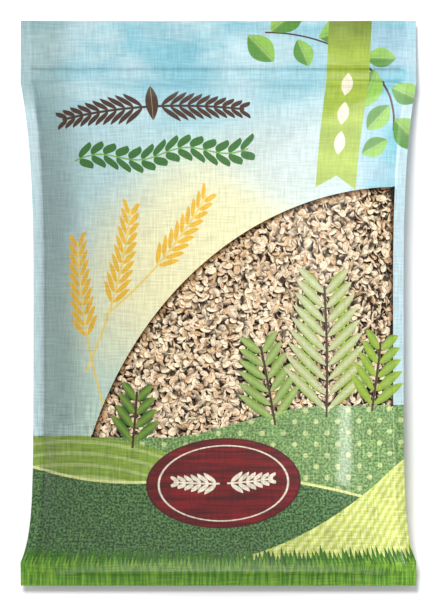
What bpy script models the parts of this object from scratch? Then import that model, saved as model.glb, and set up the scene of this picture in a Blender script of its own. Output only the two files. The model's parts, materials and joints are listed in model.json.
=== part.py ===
"""A flat resealable pouch of rolled oats, lying on its back with its printed front up.

Two films are sealed together along the sides and the bottom, and carry a press-to-close zip
below an empty header. The front film has a large clear window, where the oats show.
X runs across the pouch, Y from its bottom seal to its top edge, and Z up from the table. Each
piece is drawn with Y = 0 at the bottom edge, then all are moved so that the origin is under the
middle of the pouch.
"""

import math
import random

import bmesh
import bpy
from mathutils import Matrix, Vector
from mathutils.bvhtree import BVHTree

# The pouch, sealed and filled
WIDTH = 0.305
LENGTH = 0.436
SEAL = 0.008
FILM = 0.0006
EDGE = 0.0012
ZIP_RIBS = (0.388, 0.399)
ZIP_RIB_RADIUS = 0.0016

# How the filling shapes it: the powers say how late it falls off towards a seam
FULLEST = 0.215
FALL_TO_BOTTOM = 4.5
FALL_TO_ZIP = 2.4
WAIST = 0.0122
FRONT_RISE = 0.043
FRONT_RISE_POWER = 0.55
FRONT_ROUNDNESS = 2.5
FRONT_SHOULDER = 0.8
FLAT_BACK_ACROSS = 0.64
FLAT_BACK_ALONG = (0.062, 0.325)

# How high the sheet of the seams lies along the pouch
SEAM_HEIGHT = 0.024
BOTTOM_EDGE_HEIGHT = 0.007
TOP_EDGE_HEIGHT = 0.006
SEAM_LIFT_SPAN = (-0.020, 0.100)
SEAM_DROOP_SPAN = (0.290, 0.448)

# The clear window in the front film: a quarter of an ellipse, above a softly rising lower edge
WINDOW_ARC_CENTRE = (0.133, -0.001)
WINDOW_ARC_RADII = (0.247, 0.308)
WINDOW_RIGHT = 0.131
WINDOW_BOTTOM = 0.115
WINDOW_BOTTOM_RISE = 0.024
WINDOW_RISE_SPAN = (-0.050, 0.080)
WINDOW_ARC_STEPS = 28
WINDOW_FLOOR_STEPS = 14
CUTTER_TOP = 0.1

# The oats
GAP = 0.0003
FLAKE_BED = 0.0021
FLAKE_RIM = 0.0004
FLAKE_LENGTH = (0.0088, 0.0108)
FLAKE_SLIMNESS = (0.66, 0.86)
FLAKE_UNEVENNESS = (0.86, 1.12)
FLAKE_DEPTH = 0.0023
FLAKE_SIDES = 6
FLAKE_TAPER = 0.88
FLAKE_TILT = 0.26
FLAKE_SPACING = 0.0077
FLAKE_TRIES = 9000
FLAKE_SEED = 11

# Grid lines: cells across and along the filled part
CELLS_ACROSS = 18
CELLS_ALONG = 20
HEADER_CELLS = 2
COLUMNS_IN_SEAM = 1
ROWS_IN_SEAM = 2
SHARP_EDGE = 35


def smooth_step(low, high, value):
    """0 below low, 1 above high, and a soft S between them."""
    share = min(1.0, max(0.0, (value - low) / (high - low)))
    return share * share * (3 - 2 * share)


def fullness(y):
    """How full the pouch is at a height along it: 1 at its fullest, 0 at the seal and at the zip."""
    if y < FULLEST:
        away, power = (FULLEST - y) / (FULLEST - SEAL), FALL_TO_BOTTOM
    else:
        away, power = (y - FULLEST) / (ZIP_RIBS[0] - FULLEST), FALL_TO_ZIP
    return max(0.0, 1 - away**power)


def inner_half_width(y):
    """From the middle line to the inner edge of a side seal."""
    return WIDTH / 2 - WAIST * fullness(y) - SEAL


def seam_height(y):
    """The height of the sheet in which front and back film meet."""
    lift = (SEAM_HEIGHT - BOTTOM_EDGE_HEIGHT) * smooth_step(*SEAM_LIFT_SPAN, y)
    droop = (SEAM_HEIGHT - TOP_EDGE_HEIGHT) * smooth_step(*SEAM_DROOP_SPAN, y)
    return BOTTOM_EDGE_HEIGHT + lift - droop


def front_height(x, y):
    """The outer face of the front film."""
    across = min(1.0, abs(x) / inner_half_width(y))
    crown = (1 - across**FRONT_ROUNDNESS) ** FRONT_SHOULDER
    return seam_height(y) + EDGE / 2 + FRONT_RISE * fullness(y) ** FRONT_RISE_POWER * crown


def back_height(x, y):
    """The outer face of the back film: flat on the table, then curving up to the seams."""
    across = max(0.0, abs(x) / inner_half_width(y) - FLAT_BACK_ACROSS) / (1 - FLAT_BACK_ACROSS)
    low, high = FLAT_BACK_ALONG
    along = max(0.0, (low - y) / (low - SEAL), (y - high) / (ZIP_RIBS[0] - high))
    sag = math.sqrt(max(0.0, 1 - across**2 - along**2))
    return (seam_height(y) - EDGE / 2) * (1 - sag)


def lines_across():
    """Columns as shares of the inner half width; beyond 1 in size they are the outer edge of a seal."""
    inner = [math.sin(math.pi / 2 * (2 * i / CELLS_ACROSS - 1)) for i in range(CELLS_ACROSS + 1)]
    return [-2.0] + inner + [2.0]


def lines_along():
    """Rows from the bottom edge to the top edge, closest where the pouch curves most."""
    middle = (SEAL + ZIP_RIBS[0]) / 2
    half = (ZIP_RIBS[0] - SEAL) / 2
    filled = [middle - half * math.cos(math.pi * j / CELLS_ALONG) for j in range(CELLS_ALONG + 1)]
    step = (LENGTH - ZIP_RIBS[0]) / HEADER_CELLS
    header = [ZIP_RIBS[0] + step * (k + 1) for k in range(HEADER_CELLS)]
    return [0.0] + filled + header


def pillow(name, columns, rows, drop_front=lambda x, y: 0.0, lift_back=0.0, inset=0.0):
    """A closed body between the front and the back film, drawn in by those distances and at its rim."""
    bm = bmesh.new()
    bmesh.ops.create_grid(bm, x_segments=len(columns) - 1, y_segments=len(rows) - 1, size=1)
    made = bmesh.ops.extrude_face_region(bm, geom=bm.faces[:])
    front = {v for v in made["geom"] if isinstance(v, bmesh.types.BMVert)}
    last_i, last_j = len(columns) - 1, len(rows) - 1
    for v in bm.verts:
        i, j = round((v.co.x + 1) / 2 * last_i), round((v.co.y + 1) / 2 * last_j)
        column, y = columns[i], rows[j]
        inner = inner_half_width(y)
        x = inner * column if abs(column) <= 1 else math.copysign(inner + SEAL, column)
        z = front_height(x, y) - drop_front(x, y) if v in front else back_height(x, y) + lift_back
        v.co = (x + inset * ((i == 0) - (i == last_i)), y + inset * ((j == 0) - (j == last_j)), z)
    bmesh.ops.triangulate(bm, faces=bm.faces[:], quad_method="FIXED")
    bmesh.ops.recalc_face_normals(bm, faces=bm.faces[:])
    mesh = bpy.data.meshes.new(name)
    bm.to_mesh(mesh)
    bm.free()
    return bpy.data.objects.new(name, mesh)


def window_floor(x):
    """The window's lower edge."""
    return WINDOW_BOTTOM + WINDOW_BOTTOM_RISE * smooth_step(*WINDOW_RISE_SPAN, x)


def window_outline(margin=0.0):
    """The window's outline, anticlockwise from its lower left, drawn in by a margin."""
    (cx, cy), (rx, ry) = WINDOW_ARC_CENTRE, WINDOW_ARC_RADII
    rx, ry, right = rx - margin, ry - margin, WINDOW_RIGHT - margin
    first = math.pi - math.asin((WINDOW_BOTTOM + margin - cy) / ry)
    last = math.acos((right - cx) / rx)
    steps = WINDOW_ARC_STEPS
    arc = [last + (first - last) * k / steps for k in range(steps + 1)]
    upper = [(cx + rx * math.cos(angle), cy + ry * math.sin(angle)) for angle in arc]
    left = upper[-1][0]
    steps = WINDOW_FLOOR_STEPS
    lower = [left + (right - left) * k / steps for k in range(1, steps + 1)]
    return upper + [(x, window_floor(x) + margin) for x in lower]


def in_window(x, y, margin=0.0):
    """Whether a point lies in the window, at least a margin inside its outline."""
    (cx, cy), (rx, ry) = WINDOW_ARC_CENTRE, WINDOW_ARC_RADII
    reach = math.hypot((x - cx) / (rx - margin), (y - cy) / (ry - margin))
    return x < WINDOW_RIGHT - margin and y > window_floor(x) + margin and reach < 1


def prism(name, outline, low, high):
    """A closed prism over an outline, as a mesh."""
    curve = bpy.data.curves.new(name, "CURVE")
    curve.dimensions = "2D"
    curve.fill_mode = "BOTH"
    curve.extrude = (high - low) / 2
    spline = curve.splines.new("POLY")
    spline.points.add(len(outline) - 1)
    for point, (x, y) in zip(spline.points, outline):
        point.co = (x, y, 0, 1)
    spline.use_cyclic_u = True
    drawn = bpy.data.objects.new(name + "_outline", curve)
    bpy.context.scene.collection.objects.link(drawn)
    drawn.location.z = (low + high) / 2
    bpy.context.view_layer.update()
    graph = bpy.context.evaluated_depsgraph_get()
    mesh = bpy.data.meshes.new_from_object(drawn.evaluated_get(graph))
    mesh.transform(drawn.matrix_world)
    bpy.data.objects.remove(drawn)
    bm = bmesh.new()
    bm.from_mesh(mesh)
    bmesh.ops.remove_doubles(bm, verts=bm.verts[:], dist=1e-6)
    bmesh.ops.recalc_face_normals(bm, faces=bm.faces[:])
    bm.to_mesh(mesh)
    bm.free()
    return bpy.data.objects.new(name, mesh)


def flake_places(rng, film):
    """Where flakes lie: evenly spread over the window, none closer than the spacing along the film."""
    places = []
    (cx, cy), (rx, ry) = WINDOW_ARC_CENTRE, WINDOW_ARC_RADII
    for _ in range(FLAKE_TRIES):
        x = rng.uniform(cx - rx, WINDOW_RIGHT)
        y = rng.uniform(WINDOW_BOTTOM, cy + ry)
        if not in_window(x, y, FLAKE_LENGTH[1] / 2 + FLAKE_RIM):
            continue
        point, normal = on_film(film, x, y)
        if all((point - other).length > FLAKE_SPACING for other, _ in places):
            places.append((point, normal))
    return places


def on_film(film, x, y):
    """The point straight above x and y on the film, and the film's direction there."""
    point, normal, _, _ = film.ray_cast(Vector((x, y, 1)), Vector((0, 0, -1)))
    return point, normal


def flake(name, place, lie, film, rng):
    """One rolled flake: an uneven disc, tilted from the film, let down until it is all under it."""
    length = rng.uniform(*FLAKE_LENGTH)
    slimness = rng.uniform(*FLAKE_SLIMNESS)
    turn = Matrix.Rotation(rng.uniform(0, math.tau), 4, "Z")
    tilt = Matrix.Rotation(rng.uniform(-FLAKE_TILT, FLAKE_TILT), 4, "X")
    face_up = lie.to_track_quat("Z", "Y").to_matrix().to_4x4()
    size = Matrix.Diagonal((length, length * slimness, FLAKE_DEPTH, 1))
    bm = bmesh.new()
    top = 0.5 * FLAKE_TAPER
    bmesh.ops.create_cone(bm, cap_ends=True, segments=FLAKE_SIDES, radius1=0.5, radius2=top, depth=1)
    corners = sorted(bm.verts, key=lambda v: (math.atan2(v.co.y, v.co.x), v.co.z))
    for lower, upper in zip(corners[::2], corners[1::2]):
        reach = rng.uniform(*FLAKE_UNEVENNESS)
        lower.co.xy *= reach
        upper.co.xy *= reach
    bm.transform(Matrix.Translation(place) @ face_up @ turn @ tilt @ size)
    clear = FILM + GAP
    down = max(v.co.z - on_film(film, v.co.x, v.co.y)[0].z + clear for v in bm.verts)
    bm.transform(Matrix.Translation((0, 0, -down)))
    mesh = bpy.data.meshes.new(name)
    bm.to_mesh(mesh)
    bm.free()
    return bpy.data.objects.new(name, mesh)


def apply_modifiers(obj):
    """Makes an object's evaluated mesh its own."""
    graph = bpy.context.evaluated_depsgraph_get()
    mesh = bpy.data.meshes.new_from_object(obj.evaluated_get(graph))
    obj.modifiers.clear()
    obj.data = mesh


def boolean(obj, operation, tool, solver="EXACT"):
    """Adds a Boolean with one object, or with a whole collection."""
    modifier = obj.modifiers.new(operation.title(), "BOOLEAN")
    modifier.operation = operation
    modifier.solver = solver
    if isinstance(tool, bpy.types.Collection):
        modifier.operand_type = "COLLECTION"
        modifier.collection = tool
    else:
        modifier.object = tool
    return modifier


def material(name, colour, roughness):
    """A Principled finish of one colour."""
    made = bpy.data.materials.new(name)
    made.use_nodes = True
    shader = made.node_tree.nodes["Principled BSDF"]
    shader.inputs["Base Color"].default_value = (*colour, 1)
    shader.inputs["Roughness"].default_value = roughness
    shader.inputs["Metallic"].default_value = 0.0
    made.diffuse_color = (*colour, 1)
    return made


def as_cutter(obj, cutters):
    """Keeps an object as a hidden tool of a Boolean."""
    cutters.objects.link(obj)
    obj.hide_render = True
    obj.display_type = "WIRE"
    return obj


def film_shell(name, cutters):
    """The sealed envelope of both films, hollow inside."""
    shell = pillow(name, lines_across(), lines_along())
    inside = pillow(name + "_inside", *inner_lines(), lambda x, y: FILM, FILM)
    boolean(shell, "DIFFERENCE", as_cutter(inside, cutters))
    return shell


def make_pouch(parts, cutters):
    """The printed film: both sides, the seals and the zip's ribs, open where the window is."""
    pouch = film_shell("pouch", cutters)
    parts.objects.link(pouch)
    for number, y in enumerate(ZIP_RIBS):
        bpy.ops.mesh.primitive_cylinder_add(
            vertices=8,
            radius=ZIP_RIB_RADIUS,
            depth=2 * inner_half_width(y),
            location=(0, y, seam_height(y)),
            rotation=(0, math.pi / 2, 0),
        )
        rib = bpy.context.object
        rib.name = f"zip_rib_{number}"
        for collection in rib.users_collection:
            collection.objects.unlink(rib)
        boolean(pouch, "UNION", as_cutter(rib, cutters))
    opening = prism("window_opening", window_outline(), SEAM_HEIGHT, CUTTER_TOP)
    boolean(pouch, "DIFFERENCE", as_cutter(opening, cutters))
    pouch.data.materials.append(material("printed film", (0.42, 0.66, 0.70), 0.4))
    return pouch


def make_clear_window(parts, cutters):
    """The unprinted film over the window, a gap clear of the printed film round it."""
    pane = film_shell("clear_window", cutters)
    parts.objects.link(pane)
    cut = prism("window_pane", window_outline(GAP), SEAM_HEIGHT, CUTTER_TOP)
    boolean(pane, "INTERSECT", as_cutter(cut, cutters))
    clear = material("clear film", (0.95, 0.95, 0.93), 0.15)
    clear.node_tree.nodes["Principled BSDF"].inputs["Alpha"].default_value = 0.35
    pane.data.materials.append(clear)
    return pane


def inner_lines():
    """The columns and rows that the filling takes, clear of the narrow wedge along the seams."""
    columns, rows = lines_across(), lines_along()
    sides, ends = COLUMNS_IN_SEAM + 1, ROWS_IN_SEAM + 1
    return columns[sides:-sides], rows[ends : -(HEADER_CELLS + ends)]


def make_oats(parts):
    """The filling: a core inside the films, with whole flakes fused on where the window shows them."""

    def sunk(x, y):
        """How far the core lies below the film: more under the window, where flakes lie on it."""
        return FILM + GAP + FLAKE_BED * in_window(x, y)

    oats = pillow("oats", *inner_lines(), sunk, FILM + GAP, GAP)
    parts.objects.link(oats)
    rng = random.Random(FLAKE_SEED)
    drawn = bmesh.new()
    drawn.from_mesh(pillow("film", lines_across(), lines_along()).data)
    film = BVHTree.FromBMesh(drawn)
    drawn.free()
    loose = bpy.data.collections.new("flakes")
    bpy.context.scene.collection.children.link(loose)
    for number, (place, lie) in enumerate(flake_places(rng, film)):
        loose.objects.link(flake(f"flake_{number}", place, lie, film, rng))
    boolean(oats, "UNION", loose, "MANIFOLD")
    apply_modifiers(oats)
    for piece in list(loose.objects):
        bpy.data.objects.remove(piece)
    bpy.data.collections.remove(loose)
    oats.data.materials.append(material("rolled oats", (0.62, 0.48, 0.30), 0.8))
    return oats


def main():
    for obj in list(bpy.data.objects):
        bpy.data.objects.remove(obj)
    parts = bpy.data.collections.new("pouch_of_rolled_oats")
    cutters = bpy.data.collections.new("cutters")
    for collection in (parts, cutters):
        bpy.context.scene.collection.children.link(collection)
    make_pouch(parts, cutters)
    make_clear_window(parts, cutters)
    make_oats(parts)
    for obj in parts.objects:
        obj.data.shade_smooth()
        obj.data.set_sharp_from_angle(angle=math.radians(SHARP_EDGE))
    for obj in [*parts.objects, *cutters.objects]:
        obj.location.y -= LENGTH / 2


main()
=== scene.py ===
# %% [markdown]
# # A sealed pouch of rolled oats
# The real object is two sheets of printed plastic film, welded together along the sides and the
# bottom, filled with rolled oats and lying on its back. A window in the front sheet is left
# unprinted, so the flakes show. The construction model gives the size and the place of
# everything, and this lesson makes the looks around it: film blown up by a cloth simulation, a
# print drawn with nodes, and a few thousand flakes scattered under the window.

# %% Load the construction model
import json
import math

import bmesh
import bpy
import numpy as np
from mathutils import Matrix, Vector
from mathutils.bvhtree import BVHTree

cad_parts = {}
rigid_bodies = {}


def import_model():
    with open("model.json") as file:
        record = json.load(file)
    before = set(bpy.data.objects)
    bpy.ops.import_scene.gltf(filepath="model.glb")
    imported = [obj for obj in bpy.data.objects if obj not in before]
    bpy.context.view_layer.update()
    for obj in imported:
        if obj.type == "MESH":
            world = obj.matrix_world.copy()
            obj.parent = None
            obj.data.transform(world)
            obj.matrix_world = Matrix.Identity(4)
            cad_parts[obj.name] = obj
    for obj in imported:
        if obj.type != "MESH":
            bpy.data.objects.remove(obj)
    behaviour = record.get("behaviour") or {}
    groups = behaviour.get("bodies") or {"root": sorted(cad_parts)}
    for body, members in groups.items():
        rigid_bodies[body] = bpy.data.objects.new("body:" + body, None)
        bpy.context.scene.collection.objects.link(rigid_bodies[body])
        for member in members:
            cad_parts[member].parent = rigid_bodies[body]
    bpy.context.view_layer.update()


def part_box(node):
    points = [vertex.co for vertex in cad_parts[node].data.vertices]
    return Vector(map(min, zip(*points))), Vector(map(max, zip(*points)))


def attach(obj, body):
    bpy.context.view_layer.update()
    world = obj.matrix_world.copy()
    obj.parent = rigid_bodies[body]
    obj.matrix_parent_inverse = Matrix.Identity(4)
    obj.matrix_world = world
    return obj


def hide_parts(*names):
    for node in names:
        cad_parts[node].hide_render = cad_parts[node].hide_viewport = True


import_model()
scene = bpy.context.scene
pouch_low, pouch_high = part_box("pouch")
WIDTH = pouch_high.x - pouch_low.x
LENGTH = pouch_high.y - pouch_low.y
print("pouch", round(WIDTH, 4), "by", round(LENGTH, 4), "by", round(pouch_high.z, 4))

# %% [markdown]
# ## The film before it is filled
# A pouch starts as flat film, and film hardly stretches. So the honest way to shape it is to keep
# the flat sheet, and to let the filling push it out until it is taut. Every point of the sheet is
# named by where it lies on the flat film: `u` across, from the middle, and `v` along, from the
# bottom edge. The same two numbers later place the print and the window. The flat sheet is
# longer than the filled pouch, because the filled one arches.

# %% Grid lines of the flat sheet
# Metres: the width of the welds, the length of the flat film, and how far the lower rib of the
# zip is from the bottom edge, on the filled pouch and on the flat film.
SEAL = 0.008
FLAT_LENGTH = 0.449
ZIP = 0.388
FLAT_ZIP = FLAT_LENGTH - (LENGTH - ZIP)
ZIP_PITCH = 0.011
INNER = WIDTH / 2 - SEAL
CLOTH_CELLS = (86, 114)
TOLERANCE = 1e-6


def grid_lines(*stretches):
    """Grid lines over stretches that meet, each given as its end and its number of cells."""
    lines = [stretches[0][0]]
    for end, cells in stretches[1:]:
        lines.extend(np.linspace(lines[-1], end, cells + 1)[1:])
    return np.array(lines)


cloth_u = grid_lines((-WIDTH / 2,), (-INNER, 2), (INNER, CLOTH_CELLS[0]), (WIDTH / 2, 2))
cloth_v = grid_lines((0.0,), (SEAL, 2), (FLAT_ZIP, CLOTH_CELLS[1]), (FLAT_LENGTH, 14))
print("cloth cell", round(2 * INNER / CLOTH_CELLS[0], 5))

# %% [markdown]
# ## The shape to start from
# A cloth simulation that starts from flat sheets takes long and crumples. It settles in a second
# or two of film time when it starts near the answer, so the first guess is a closed formula, the
# same one that shaped the construction model: a pillow that is fullest halfway, draws in at the
# sides there, and lies flat on its back.

# %% The filled pillow as a formula
FULLEST = 0.215
FALL_TO_BOTTOM = 4.5
FALL_TO_ZIP = 2.4
WAIST = 0.0107
WAIST_FALL_TO_ZIP = 3.2
WAIST_START = 0.018
WAIST_LENGTH = 0.025
FRONT_RISE = 0.043
SEAM_HEIGHT = 0.024
BOTTOM_EDGE_HEIGHT = 0.007
TOP_EDGE_HEIGHT = 0.006
SEAM_LIFT = (-0.020, 0.100)
SEAM_DROOP = (0.290, 0.448)
END_BLUNTNESS = 0.55
ARCH_POWERS = (2.5, 0.8)
BACK_CLEARANCE = 0.0012
FLAT_ACROSS = 0.64
FLAT_ALONG = (0.062, 0.325)


def smooth_step(start, end, at):
    """0 before start, 1 after end, and a smooth step between."""
    share = np.clip((at - start) / (end - start), 0, 1)
    return share * share * (3 - 2 * share)


def fullness(y):
    """How full the pouch is along its length: 1 where it is fullest, and 0 at both ends."""
    below = 1 - (np.maximum(FULLEST - y, 0) / (FULLEST - SEAL)) ** FALL_TO_BOTTOM
    above = 1 - (np.maximum(y - FULLEST, 0) / (ZIP - FULLEST)) ** FALL_TO_ZIP
    return np.maximum(np.where(y < FULLEST, below, above), 0)


def drawn_in(y):
    """How far each side is drawn in by the filling: quickly above the bottom, slowly to the zip."""
    below = 1 - np.exp(-np.maximum(y - WAIST_START, 0) / WAIST_LENGTH)
    above = 1 - (np.maximum(y - FULLEST, 0) / (ZIP - FULLEST)) ** WAIST_FALL_TO_ZIP
    return WAIST * np.maximum(np.where(y < FULLEST, below, above), 0)


def seam_height(y):
    """How high the side seams lie: the belly lifts them, and both ends droop."""
    lift = (SEAM_HEIGHT - BOTTOM_EDGE_HEIGHT) * smooth_step(*SEAM_LIFT, y)
    droop = (SEAM_HEIGHT - TOP_EDGE_HEIGHT) * smooth_step(*SEAM_DROOP, y)
    return BOTTOM_EDGE_HEIGHT + lift - droop


def front_height(across, y):
    """The front's height, across from 0 in the middle to 1 at the welds."""
    arch = (1 - across ** ARCH_POWERS[0]) ** ARCH_POWERS[1]
    return seam_height(y) + FRONT_RISE * fullness(y) ** END_BLUNTNESS * arch


def back_height(across, y):
    """The back's height: flat in the middle, and curved up to the welds all round."""
    beyond_flat = np.maximum(across - FLAT_ACROSS, 0) / (1 - FLAT_ACROSS)
    to_bottom = (FLAT_ALONG[0] - y) / (FLAT_ALONG[0] - SEAL)
    to_zip = (y - FLAT_ALONG[1]) / (ZIP - FLAT_ALONG[1])
    lengthwise = np.maximum(np.maximum(to_bottom, to_zip), 0)
    curve = np.sqrt(np.clip(1 - beyond_flat**2 - lengthwise**2, 0, 1))
    return np.maximum(seam_height(y) * (1 - curve), BACK_CLEARANCE)


def pillow(u, v, height_of):
    """Where the flat film's points (u, v) go on the filled pouch, by the formula."""
    y = np.interp(v, (0, SEAL, FLAT_ZIP, FLAT_LENGTH), (0, SEAL, ZIP, LENGTH))
    half_width = INNER - drawn_in(y)
    across = np.clip(np.abs(u) / INNER, 0, 1)
    x = np.sign(u) * (across * half_width + np.maximum(np.abs(u) - INNER, 0))
    welded = (np.abs(u) >= INNER - TOLERANCE) | (v <= SEAL + TOLERANCE) | (v >= FLAT_ZIP - TOLERANCE)
    z = np.where(welded, seam_height(y), height_of(across, y))
    return np.stack([x, y, z], axis=-1)


cloth_grid_u, cloth_grid_v = np.meshgrid(cloth_u, cloth_v)
front_start = pillow(cloth_grid_u, cloth_grid_v, front_height)
back_start = pillow(cloth_grid_u, cloth_grid_v, back_height)
print("fullest height by the formula", round(float(front_start[..., 2].max()), 4))

# %% [markdown]
# ## Blowing the film up
# Cloth in Blender remembers a rest shape, and springs back to its lengths. Here the rest shape is
# the flat sheet and the starting shape is the pillow, so the simulation finds how flat film lies
# when it is full: tight over the belly, with small folds where it has to gather. Pressure stands
# for the oats, the welded edges are pinned, and a table holds the back. Blender's cloth is tuned
# for things metres wide, so the pouch is simulated ten times as large.

# %% One closed bag from two grids that share the welds
CLOTH_SCALE = 10.0

rows, columns = front_start.shape[:2]
front_index = np.arange(rows * columns).reshape(rows, columns)
free = (np.abs(cloth_grid_u) < INNER - TOLERANCE) & (cloth_grid_v > SEAL + TOLERANCE)
free &= cloth_grid_v < FLAT_ZIP - TOLERANCE
back_index = front_index.copy()
back_index[free] = rows * columns + np.arange(free.sum())


def cell_corners(index):
    """The four corners of every grid cell, anticlockwise seen from above."""
    corners = (index[:-1, :-1], index[:-1, 1:], index[1:, 1:], index[1:, :-1])
    return np.stack(corners, axis=-1).reshape(-1, 4)


def blank_bag():
    """The bag in its starting shape, with the flat film as a second shape to rest in."""
    flat = np.stack([cloth_grid_u, cloth_grid_v, np.zeros_like(cloth_grid_u)], axis=-1)
    points = np.concatenate([front_start.reshape(-1, 3), back_start[free]]) * CLOTH_SCALE
    rest = np.concatenate([flat.reshape(-1, 3), flat[free]]) * CLOTH_SCALE
    front_cells = cell_corners(front_index)
    back_cells = cell_corners(back_index)[:, ::-1]
    doubled = (front_cells[:, ::-1] != back_cells).any(axis=1)
    faces = front_cells.tolist() + back_cells[doubled].tolist()
    mesh = bpy.data.meshes.new("blank")
    mesh.from_pydata(points.tolist(), [], faces)
    blank = bpy.data.objects.new("blank", mesh)
    scene.collection.objects.link(blank)
    blank.shape_key_add(name="filled")
    flat_key = blank.shape_key_add(name="flat")
    flat_key.data.foreach_set("co", rest.astype(np.float32).ravel())
    flat_key.value = 0.0
    pressed = sorted(set(back_cells[doubled].ravel()) | set(front_cells[doubled].ravel()))
    blank.vertex_groups.new(name="pressed").add([int(i) for i in pressed], 1.0, "REPLACE")
    welds = [int(i) for i in front_index[~free]]
    blank.vertex_groups.new(name="welds").add(welds, 1.0, "REPLACE")
    return blank, flat_key


print("cloth points", rows * columns + int(free.sum()))


# %% The cloth simulation
CLOTH_FRAMES = 22
FILL_PRESSURE = 5.0


def table_below():
    """A wide table that cloth can't sink into."""
    bpy.ops.mesh.primitive_plane_add(size=6 * CLOTH_SCALE)
    table = bpy.context.object
    table.modifiers.new("table", "COLLISION")
    table.collision.thickness_outer = 0.004
    table.collision.cloth_friction = 20
    return table


def make_cloth(blank, flat_key):
    """Film that bends easily and hardly stretches, pinned at the welds and pressed outwards."""
    cloth = blank.modifiers.new("film", "CLOTH")
    film = cloth.settings
    film.quality = 6
    film.mass = 0.3
    film.tension_stiffness = 80
    film.compression_stiffness = 80
    film.shear_stiffness = 40
    film.bending_stiffness = 0.4
    film.tension_damping = 8
    film.compression_damping = 8
    film.shear_damping = 8
    film.bending_damping = 0.5
    film.air_damping = 4
    film.use_pressure = True
    film.uniform_pressure_force = FILL_PRESSURE
    film.fluid_density = 0.1
    film.vertex_group_pressure = "pressed"
    film.vertex_group_mass = "welds"
    film.pin_stiffness = 1
    film.rest_shape_key = flat_key
    cloth.collision_settings.distance_min = 0.006
    cloth.collision_settings.collision_quality = 2


def inflate():
    """Runs the cloth, and gives the front and the back sheet's points."""
    blank, flat_key = blank_bag()
    table = table_below()
    make_cloth(blank, flat_key)
    for moment in range(1, CLOTH_FRAMES + 1):
        scene.frame_set(moment)
    graph = bpy.context.evaluated_depsgraph_get()
    evaluated = blank.evaluated_get(graph).to_mesh()
    found = np.empty(len(evaluated.vertices) * 3, np.float32)
    evaluated.vertices.foreach_get("co", found)
    found = found.reshape(-1, 3).astype(float) / CLOTH_SCALE
    bpy.data.objects.remove(blank)
    bpy.data.objects.remove(table)
    scene.frame_set(1)
    return found[front_index], found[back_index]


front_cloth, back_cloth = front_start, back_start
front_cloth, back_cloth = inflate()
print("fullest height of the film", round(float(front_cloth[..., 2].max()), 4))

# %% [markdown]
# ## Fine sheets
# The cloth's cells are over 3 mm wide, too coarse for the ribs of the zip. A cubic through each
# four grid lines gives the points between them without facets, and the new lines are set closer
# where there is more to show. What is too small for the simulation is then pushed out along the
# sheet's normal: the zip's two ribs, the header that doesn't lie quite flat, and the puckers along
# the welded sides, where the film gathers. The back sheet ends up two and a half film thicknesses
# further out, or else its inner wall would come through the front at the creases beside the welds.

# %% How grids are refined, and what is pushed out of them
FILM = 0.00015
RIB_HEIGHT = 0.0020
RIB_WIDTH = 0.0013
SHEET_GAP = 2.5
ZIP_BAND = (FLAT_ZIP - 0.006, FLAT_ZIP + 0.018)
WELD_SOFTENING = 0.004
PUCKER_REACH = 0.016
PUCKER_HEIGHT = 0.0005
PUCKER_LENGTHS = (0.013, 0.019, 0.027, 0.041)
EMPTIES_OVER = 0.03
HEADER_BROAD = 0.0016
HEADER_FINE = 0.0005
TOP_CUT = 0.0002
TOP_CUT_REACH = 0.02


def refine(grid, old_lines, new_lines, axis, unwelded):
    """The grid's values at new lines, by a cubic through the four old lines around each.

    Outside the unwelded stretch it is a straight line, so that welded sheets stay together."""
    grid = np.moveaxis(grid, axis, 0)
    place = np.interp(new_lines, old_lines, np.arange(len(old_lines)))
    # A hair more, so that a line that both grids share isn't rounded down.
    base = np.clip(np.floor(place + 1e-9).astype(int), 0, len(old_lines) - 2)
    t = (place - base)[:, None, None]
    a, b, c, d = (grid[np.clip(base + step, 0, len(old_lines) - 1)] for step in (-1, 0, 1, 2))
    curved = b + 0.5 * t * (c - a + t * (2 * a - 5 * b + 4 * c - d + t * (3 * (b - c) + d - a)))
    inside = (new_lines >= unwelded[0]) & (new_lines <= unwelded[1])
    fine = np.where(inside[:, None, None], curved, b + t * (c - b))
    return np.moveaxis(fine, 0, axis)


def normals_of(points):
    """Unit normals of a grid of points, upwards on a level sheet."""
    along_u = np.gradient(points, axis=1)
    along_v = np.gradient(points, axis=0)
    normal = np.cross(along_u, along_v)
    return normal / np.linalg.norm(normal, axis=-1, keepdims=True)


def waves(u, v, wavelengths, seed):
    """A sum of slanting sine waves between about -1 and 1, the same each run."""
    draw = np.random.default_rng(seed)
    total = np.zeros_like(u)
    for length in wavelengths:
        turn, phase = draw.uniform(0, math.pi), draw.uniform(0, 2 * math.pi)
        total += np.sin((u * math.cos(turn) + v * math.sin(turn)) * 2 * math.pi / length + phase)
    return total / len(wavelengths)


def fine_sheet(cloth, u_lines, v_lines, side, seed):
    """A sheet's points on finer lines, with what is too small for the cloth pushed out.

    The side is 1 for the front and -1 for the back."""
    points = refine(cloth, cloth_v, v_lines, 0, (SEAL, FLAT_ZIP))
    points = refine(points, cloth_u, u_lines, 1, (-INNER, INNER))
    u, v = np.meshgrid(u_lines, v_lines)
    outward = normals_of(points) * side
    unsealed = 1 - smooth_step(INNER - WELD_SOFTENING, INNER, np.abs(u))
    ribs = sum(np.exp(-(((v - FLAT_ZIP - k * ZIP_PITCH) / RIB_WIDTH) ** 2)) for k in (0, 1))
    from_weld = np.minimum(INNER - np.abs(u), v - SEAL)
    near_weld = smooth_step(0, WELD_SOFTENING, from_weld)
    near_weld = near_weld * (1 - smooth_step(WELD_SOFTENING, PUCKER_REACH, from_weld))
    along_side = np.where(INNER - np.abs(u) < v - SEAL, v + np.sign(u), u)
    puckers = waves(along_side, 0 * v, PUCKER_LENGTHS, seed)
    filled = 1 - smooth_step(FLAT_ZIP - EMPTIES_OVER, FLAT_ZIP, v)
    height = RIB_HEIGHT * ribs * unsealed + PUCKER_HEIGHT * near_weld * puckers * filled
    return points + height[..., None] * outward, u, v


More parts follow.
